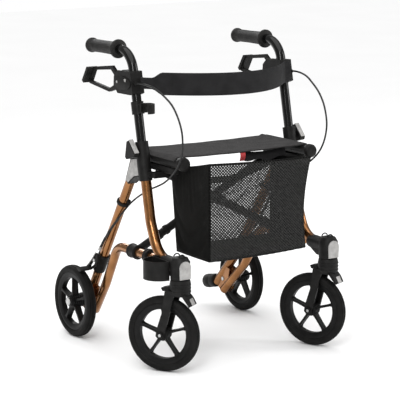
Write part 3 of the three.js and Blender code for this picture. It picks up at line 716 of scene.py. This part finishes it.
def handle(side, s):
    """A handle post with its grip, brake block, lever, boss and screws."""
    body = f"handle_{side}"
    x = s * FRAME_X
    post = fillet([lean(x, 430), (x, 47.3, 810), (x, 250, 807)], 62)
    tube(f"handle_post_{side}_bent", post, 12.5, post_paint, body, f"handle_post_{side}", "post_black")
    profile = [(0, 4), (0, 15), (1.2, 18), (4, 19.8), (9, 20), (12, 19.4), (14, 17.8), (30, 17.2), (70, 17),
               (110, 17.6), (132, 18.6), (137, 20.5), (139.5, 24), (142, 25.2), (146, 25.2), (148, 24),
               (148.5, 13)]
    verts, faces, uvs = turned((x, 257, 807), (x, 109, 809.2), profile, 40)
    piece(f"grip_{side}_moulded", verts, faces, rubber, body, (f"grip_{side}",), "rubber", uvs, smooth=60)
    skin(f"brake_block_{side}", plastic, 2.2)
    skin(f"brake_lever_{side}", plastic, 1.6)
    turns = [2 * math.pi * i / 36 for i in range(36)]
    boss = [(58 + 42 * math.cos(a), 726 + 18 * math.sin(a)) for a in turns]
    plate(f"block_boss_{side}", boss, s * 255.5, s * 258.6, plastic, body, corner=0.5, bevel=1.0,
          slot="black_plastic")
    rod(f"block_screw_{side}", (s * 257, 40, 735), (s * 260.5, 40, 735), 4.2, silver, body,
        slot="grey_plastic")
    rod(f"lever_screw_{side}", (s * 257, 82, 727), (s * 260, 82, 727), 3.4, steel, body, slot="steel")
    rod(f"cable_adjuster_{side}", (s * 246, 16, 729), (s * 246, 0, 729.6), 5, plastic, body,
        slot="black_plastic")


CABLE_ROUTE = [
    (246, 9, 729), (246, -14, 731), (243, -45, 730), (239, -78, 724), (235, -108, 711),
    (231, -143, 690), (229, -168, 662), (227, -183, 630), (226, -187, 600), (224, -180, 565),
    (223, -160, 533), (221, -128, 505), (218, -88, 481), (216, -50, 465), (215.5, -15, 452),
    (216, 20, 436), (217, 52, 419), (220, 77, 402), (228, 84, 390), (238, 92, 374),
    (244, 106, 355), (250, 133, 325), (252, 165, 290), (252, 192, 257),
]


def refine(path, step):
    """The same line with a point at least every step."""
    out = []
    for a, b in zip(path, path[1:]):
        parts = max(1, math.ceil((b - a).length / step))
        out += [a.lerp(b, i / parts) for i in range(parts)]
    return out + [path[-1]]


def cable(side, s):
    """A brake cable from the block to the brake, wound round along its lowest stretch."""
    path = catmull([(s * px, y, z) for px, y, z in CABLE_ROUTE], 5)
    whole = sum((b - a).length for a, b in zip(path, path[1:]))
    path = refine(path, 2.0)
    wrap_start = whole * 0.83
    verts, faces, uvs = sweep(path, lambda d: 2.5 if d < wrap_start else 3.3 + 0.7 * math.cos(d * 1.57), 12)
    obj = piece(f"brake_cable_{side}_housing", verts, faces, cable_skin, None, (), "rubber", uvs)
    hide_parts(f"brake_cable_{side}")
    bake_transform(obj)
    rod(f"cable_barrel_{side}", (s * 252, 185, 267), (s * 252, 193, 256), 4.2, silver, f"frame_{side}",
        slot="grey_plastic")


for side_name, sign in SIDES.items():
    side_frame(side_name, sign)
    caster(side_name, sign)
    rear_wheel(side_name, sign)
    handle(side_name, sign)
    cable(side_name, sign)


# ------------------------------------------------------------ cross brace and seat rails

def cross_link(letter, s, y, far_y, body):
    """Replaces the CAD brace: a tube from the foot at -s to the rail at +s, its sleeve and its collars."""
    slope = (CROSS_Z - RAIL_Z) / FRAME_X
    foot, top = -s * 226, s * 196

    def height(along_x):
        """Height of the brace's middle line."""
        return RAIL_Z + slope * (along_x * s + FRAME_X)

    path = [Vector((foot, y, height(foot))).lerp(Vector((top, y, height(top))), i / 12) for i in range(13)]
    verts, faces, uvs = sweep(path, 11, 24)
    piece(f"brace_{letter}_tube", verts, faces, plastic, body, (f"cross_link_{letter}",), "black_plastic",
          uvs)
    x = -s * FRAME_X
    for k, (y0, y1) in enumerate(((y - 14, y + 20), (far_y - 8, far_y + 8))):
        wide = y1 - y0
        profile = [(0, 13.4), (0, 17.5), (1.5, 19.6), (5, 19.6), (6.5, 18.2), (wide - 6.5, 18.2),
                   (wide - 5, 19.6), (wide - 1.5, 19.6), (wide, 17.5), (wide, 13.4)]
        verts, faces, uvs = turned((x, y0, RAIL_Z), (x, y1, RAIL_Z), profile, 36)
        piece(f"brace_{letter}_foot_{k}", verts, faces, plastic, body, slot="black_plastic", uvs=uvs)
    near = FRAME_X - 18.5
    low_y, high_y = min(y, far_y), max(y, far_y)
    low_x, high_x = min(-s * near, -s * (near + 5)), max(-s * near, -s * (near + 5))
    block(f"brace_{letter}_bar", (low_x, low_y, RAIL_Z - 3), (high_x, high_y, RAIL_Z + 12), plastic, body,
          slot="black_plastic", bevel=2)
    for k, along in enumerate((68, 90)):
        px = -s * (FRAME_X - along)
        a, b = Vector((px, y, height(px))), Vector((px + s * 9, y, height(px + s * 9)))
        rod(f"brace_{letter}_collar_{k}", a, b, 13.4, plastic, body, slot="black_plastic")
    rod(f"brace_{letter}_eye", (0, y - 12.5, CROSS_Z), (0, y + 12.5, CROSS_Z), 14, plastic, body,
        slot="black_plastic")
    block(f"brace_{letter}_saddle", (min(s * 191, s * 209), -118, 503), (max(s * 191, s * 209), 58, 520),
          plastic, body, slot="black_plastic", bevel=3)


def seat_rail(side, s, body):
    """A seat rail with a ribbed cap at its front end."""
    x = s * SEAT_RAIL_X
    profile = [(0, 6), (0, 14), (1.5, 16.6), (5, 18), (14, 18), (17, 17.4), (19, 15.2), (21, 15), (228, 15),
               (229, 16.4), (233, 16.4), (235, 14), (235, 5)]
    verts, faces, uvs = turned((x, -158, SEAT_RAIL_Z), (x, 77, SEAT_RAIL_Z), profile, 36)
    piece(f"seat_rail_{side}_turned", verts, faces, plastic, body, (f"seat_rail_{side}",), "black_plastic",
          uvs)


cross_link("a", 1, 30, -38, "link_a")
cross_link("b", -1, -20, 50, "link_b")
skin("cross_bolt", steel, 0.6)
seat_rail("left", 1, "link_a")
seat_rail("right", -1, "link_b")
skin("cane_cup", plastic, 0.8)
skin("cane_clip", plastic, 1.2)


# ------------------------------------------------------------ soft goods

def cloth_grid(rows, thickness):
    """A closed sheet from rows of points, thickened along each point's own normal."""
    n, m = len(rows), len(rows[0])

    def normal(i, j):
        a = rows[min(i + 1, n - 1)][j] - rows[max(i - 1, 0)][j]
        b = rows[i][min(j + 1, m - 1)] - rows[i][max(j - 1, 0)]
        return a.cross(b).normalized()

    verts, uvs = [], []
    for offset in (thickness / 2, -thickness / 2):
        v = 0.0
        for i in range(n):
            if i:
                v += (rows[i][m // 2] - rows[i - 1][m // 2]).length
            u = 0.0
            for j in range(m):
                if j:
                    u += (rows[i][j] - rows[i][j - 1]).length
                verts.append(rows[i][j] + normal(i, j) * offset)
                uvs.append((u / 1000, v / 1000))
    size = n * m
    faces = []
    for i in range(n - 1):
        for j in range(m - 1):
            a, b, c, d = i * m + j, i * m + j + 1, (i + 1) * m + j + 1, (i + 1) * m + j
            faces += [(a, b, c, d), (size + d, size + c, size + b, size + a)]
    for i in range(n - 1):
        for j in (0, m - 1):
            a, d = i * m + j, (i + 1) * m + j
            faces.append((a, d, size + d, size + a) if j == 0 else (d, a, size + a, size + d))
    for j in range(m - 1):
        for i in (0, n - 1):
            a, b = i * m + j, i * m + j + 1
            faces.append((b, a, size + a, size + b) if i == 0 else (a, b, size + b, size + a))
    return verts, faces, uvs


def seat_section(x):
    """Height of the seat's middle surface: it wraps over the rails and sags a little between them."""
    reach = abs(x)
    if reach > SEAT_RAIL_X:
        angle = min((reach - SEAT_RAIL_X) / 16.4, 1.0)
        return SEAT_RAIL_Z + 16.6 * math.sqrt(max(0.0, 1 - angle * angle))
    return 551.6 - 3.2 * (1 - (reach / SEAT_RAIL_X) ** 2) ** 0.8


seat_rows = []
for i in range(25):
    y = -128 + 190 * i / 24
    curl = -1.6 if i in (0, 24) else 0
    row = []
    for j in range(61):
        x = -215 + 430 * j / 60
        ripple = 0.35 * math.sin(x * 0.06 + y * 0.05) * math.sin(y * 0.09)
        row.append(Vector((x, y, seat_section(x) + curl + ripple)))
    seat_rows.append(row)
seat_verts, seat_faces, seat_uvs = cloth_grid(seat_rows, 3.0)


def bend_between_rails(obj):
    """Bakes the cloth's placement into its mesh; no seat rail carries it."""
    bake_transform(obj)


seat = piece("seat_cloth_panel", seat_verts, seat_faces, seat_cloth, None, (), "seat_fabric", seat_uvs,
             smooth=60)
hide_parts("seat")
bend_between_rails(seat)


def pull_strap():
    """The webbing loop under the seat that folds the frame when it is pulled, and its red end."""
    rows = []
    for i in range(5):
        row = []
        for j in range(33):
            x = 4 + 140 * j / 32
            sag = 9 * math.sin(math.pi * j / 32)
            row.append(Vector((x, -112 - 5 * i / 4, 545 - sag * 0.5 - i * (5.5 + 0.8 * math.sin(j * 0.4)))))
        rows.append(row)
    verts, faces, uvs = cloth_grid(rows, 2.0)
    web = piece("pull_strap_web", verts, faces, strap_cloth, None, slot="webbing", uvs=uvs, smooth=60)
    rows = []
    for i in range(7):
        z = 547 - 24 * i / 6
        rows.append([Vector((-8 + 15 * j / 5, -124 - 3 * math.sin(i * 0.6), z)) for j in range(6)])
    verts, faces, uvs = cloth_grid(rows, 2.4)
    tab = piece("pull_strap_tab", verts, faces, red_web, None, slot="webbing", uvs=uvs, smooth=60)
    for cloth in (web, tab):
        bend_between_rails(cloth)


pull_strap()


def bow(x):
    """The strap bows forwards between the posts, and its left end lies flat against the block."""
    free = -130 + 150 * (x / FRAME_X) ** 2
    return free if free < -8 or x < 0 else 1.5 - 9.5 * math.exp(-(free + 8) / 9.5)


def backrest():
    """A wide padded strap, with a narrow tail where it meets the right brake block."""
    verts, faces, uvs = [], [], []
    stations = []
    count = 96
    for i in range(count + 1):
        x = -228 + 469 * i / count
        tail = min(max((-x - 189) / 20, 0), 1)
        tail = tail * tail * (3 - 2 * tail)
        half = 29.5 * (1 - tail) + 15 * tail
        puff = 4.0 * (1 - tail) + 2.0 * tail
        if abs(x + 167) < 2.5 or abs(x - 196) < 2.5:
            puff *= 0.62
        end = max(0.0, x - 235) / 6
        half *= math.sqrt(max(1 - end * end * 0.5, 0.1))
        stations.append((x, half, puff))
    ring = 28
    along = 0.0
    last = None
    for x, half, puff in stations:
        y = bow(x)
        slope = bow(x + 0.5) - bow(x - 0.5)
        normal = Vector((-slope, 1, 0)).normalized()
        centre = Vector((x, y, STRAP_Z))
        if last is not None:
            along += (centre - last).length
        last = centre
        for k in range(ring):
            a = 2 * math.pi * k / ring
            c, d = math.cos(a), math.sin(a)
            z = half * math.copysign(abs(d) ** 0.55, d)
            edge = 1 - (abs(z) / half) ** 6 * 0.5
            off = puff * math.copysign(abs(c) ** 0.7, c) * edge
            verts.append(centre + normal * off + Vector((0, 0, z)))
            uvs.append((along / 1000, z / 1000))
    for i in range(len(stations) - 1):
        for k in range(ring):
            a, b = i * ring + k, i * ring + (k + 1) % ring
            faces.append((a, b, b + ring, a + ring))
    last_ring = (len(stations) - 1) * ring
    faces += [tuple(range(ring - 1, -1, -1)), tuple(range(last_ring, last_ring + ring))]
    obj = piece("backrest_strap", verts, faces, strap_cloth, "handle_right", ("backrest",), "webbing", uvs,
                smooth=70)
    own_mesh(obj)


backrest()


# ---- basket

SETTLE_FRAMES = 36
REAR_SLACK = 45.0
# Each corner of the bag as (x, y, z). Its right wall flares out at the top.
BASKET = {
    "front_top_right": (-162, -209, 541), "front_top_left": (159, -210, 533),
    "front_low_right": (-154, -199, 283), "front_low_left": (152, -199, 287),
    "rear_top_right": (-167, -38, 512), "rear_top_left": (158, -38, 515),
    "rear_low_right": (-155, -46, 285), "rear_low_left": (150, -50, 284),
}


def hang(corners, u, v, bulge, slack=3.0):
    """A point of a bag panel: bowed out, slack along its top edge, pulled in at the front left edge."""
    a, b, c, d = corners
    out = (b - a).cross(d - a).normalized()
    p = a.lerp(b, u).lerp(d.lerp(c, u), v)
    p = p + out * bulge * math.sin(math.pi * u) ** 0.8 * (0.35 + 0.65 * math.sin(math.pi * min(v * 1.1, 1)))
    p.z -= slack * math.sin(math.pi * u) * (1 - v) ** 2
    height = min(max((p.z - 285) / 250, 0), 1)
    forward = min(max((-60 - p.y) / 140, 0), 1)
    leftward = min(max(p.x / 155, 0), 1)
    p.x -= 14 * math.sin(math.pi * height) * forward * leftward ** 2
    return p


def settle(rows, spare):
    """Cloth sunk under its own weight. Its rim stays put, and it is cut larger than its place by spare."""
    n, m = len(rows), len(rows[0])
    mesh = bpy.data.meshes.new("cloth_trial")
    faces = [(i * m + j, i * m + j + 1, (i + 1) * m + j + 1, (i + 1) * m + j)
             for i in range(n - 1) for j in range(m - 1)]
    mesh.from_pydata([p / 1000 for row in rows for p in row], [], faces)
    trial = bpy.data.objects.new("cloth_trial", mesh)
    bpy.context.scene.collection.objects.link(trial)
    rim = trial.vertex_groups.new(name="rim")
    held = [i * m + j for i in range(n) for j in range(m) if i in (0, n - 1) or j in (0, m - 1)]
    rim.add(held, 1.0, "REPLACE")
    cloth = trial.modifiers.new("cloth", "CLOTH")
    cloth.settings.quality = 6
    cloth.settings.mass = 0.25
    cloth.settings.tension_stiffness = 12
    cloth.settings.compression_stiffness = 12
    cloth.settings.bending_stiffness = 0.4
    cloth.settings.vertex_group_mass = "rim"
    cloth.settings.shrink_min = -spare
    cloth.point_cache.frame_end = SETTLE_FRAMES
    for frame_number in range(1, SETTLE_FRAMES + 1):
        bpy.context.scene.frame_set(frame_number)
    shape = trial.evaluated_get(bpy.context.evaluated_depsgraph_get()).to_mesh()
    points = [v.co * 1000 for v in shape.vertices]
    bpy.data.objects.remove(trial)
    bpy.context.scene.frame_set(1)
    return [points[i * m:(i + 1) * m] for i in range(n)]


def narrow(obj):
    """Gives the piece its own copy of its mesh; nothing narrows the basket as the frame folds."""
    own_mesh(obj)


def basket_wall(name, corners, bulge, spare):
    """A woven wall of the bag, settled as cloth and sewn to its neighbours at the rim."""
    across, down = 32, 30
    rows = []
    for i in range(down + 1):
        rows.append([hang(corners, j / across, i / down, bulge) for j in range(across + 1)])
    verts, faces, uvs = cloth_grid(settle(rows, spare), 1.6)
    wall = piece(name, verts, faces, basket_cloth, "basket", slot="basket_mesh", uvs=uvs, smooth=80)
    narrow(wall)
    return wall


def corner_points(key):
    """The right and left corner of a basket edge."""
    return Vector(BASKET[f"{key}_right"]), Vector(BASKET[f"{key}_left"])


ftl, ftr = corner_points("front_top")
fbl, fbr = corner_points("front_low")
rtl, rtr = corner_points("rear_top")
rbl, rbr = corner_points("rear_low")


def net(name, corners, bulge, slack, band, pitch, yarn):
    """A diagonal net of knotted yarn across a panel, inside a woven band."""
    wide = (corners[1] - corners[0]).length
    tall = (corners[3] - corners[0]).length

    def surface(u, v):
        return hang(corners, u, v, bulge, slack)

    bm = bmesh.new()
    cols, rows = int(wide / pitch), int(tall / (0.92 * pitch))
    keys = {}

    def vert(i, j):
        if (i, j) not in keys:
            p = surface(i / (2 * cols), j / (2 * rows))
            keys[(i, j)] = bm.verts.new((p - ORIGIN) / 1000)
        return keys[(i, j)]

    for i in range(1, 2 * cols):
        for j in range(1, 2 * rows):
            if (i + j) % 2 == 0:
                bm.faces.new([vert(i - 1, j), vert(i, j - 1), vert(i + 1, j), vert(i, j + 1)])
    mesh = bpy.data.meshes.new(name)
    bm.to_mesh(mesh)
    bm.free()
    obj = bpy.data.objects.new(name, mesh)
    bpy.context.scene.collection.objects.link(obj)
    finish_mesh(obj, net_yarn, smooth=180)
    wire = obj.modifiers.new("yarn", "WIREFRAME")
    wire.thickness = 2 * yarn / 1000
    wire.use_replace = True
    wire.use_even_offset = False
    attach(obj, "basket")
    narrow(obj)
    strip_rows = {
        "top": [(0, 0, 1, 0), (0, band[0], 1, band[0])],
        "low": [(0, 1 - band[1], 1, 1 - band[1]), (0, 1, 1, 1)],
    }
    for part, ((u0, v0, u1, v1), (u2, v2, u3, v3)) in strip_rows.items():
        grid = []
        for i in range(4):
            t = i / 3
            grid.append([surface(u0 + (u1 - u0) * k / 30, v0 + (v2 - v0) * t) for k in range(31)])
        verts, faces, uvs = cloth_grid(grid, 2.4)
        narrow(piece(f"{name}_{part}_band", verts, faces, basket_cloth, "basket", slot="basket_mesh",
                     uvs=uvs))
    for part, u0, u1 in (("first", 0, band[2] / wide), ("last", 1 - band[2] / wide, 1)):
        grid = [[surface(u0 + (u1 - u0) * k / 3, i / 20) for k in range(4)] for i in range(21)]
        verts, faces, uvs = cloth_grid(grid, 2.4)
        narrow(piece(f"{name}_{part}_edge", verts, faces, basket_cloth, "basket", slot="basket_mesh",
                     uvs=uvs))


net("basket_front_net", (ftl, ftr, fbr, fbl), bulge=4.0, slack=3.0, band=(0.02, 0.03, 5), pitch=8.7, yarn=2.8)
# The rear panel's top edge hangs slack, leaving room below the seat.
net("basket_rear_net", (rtr, rtl, rbl, rbr), bulge=2.0, slack=REAR_SLACK, band=(0.11, 0.07, 8), pitch=17.4,
    yarn=0.8)
wall_right = basket_wall("basket_wall_right", (rtl, ftl, fbl, rbl), -4.0, 0.012)
wall_left = basket_wall("basket_wall_left", (ftr, rtr, rbr, fbr), -4.0, 0.008)
base = basket_wall("basket_base", (fbl, fbr, rbr, rbl), 1.0, 0.01)
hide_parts("basket")
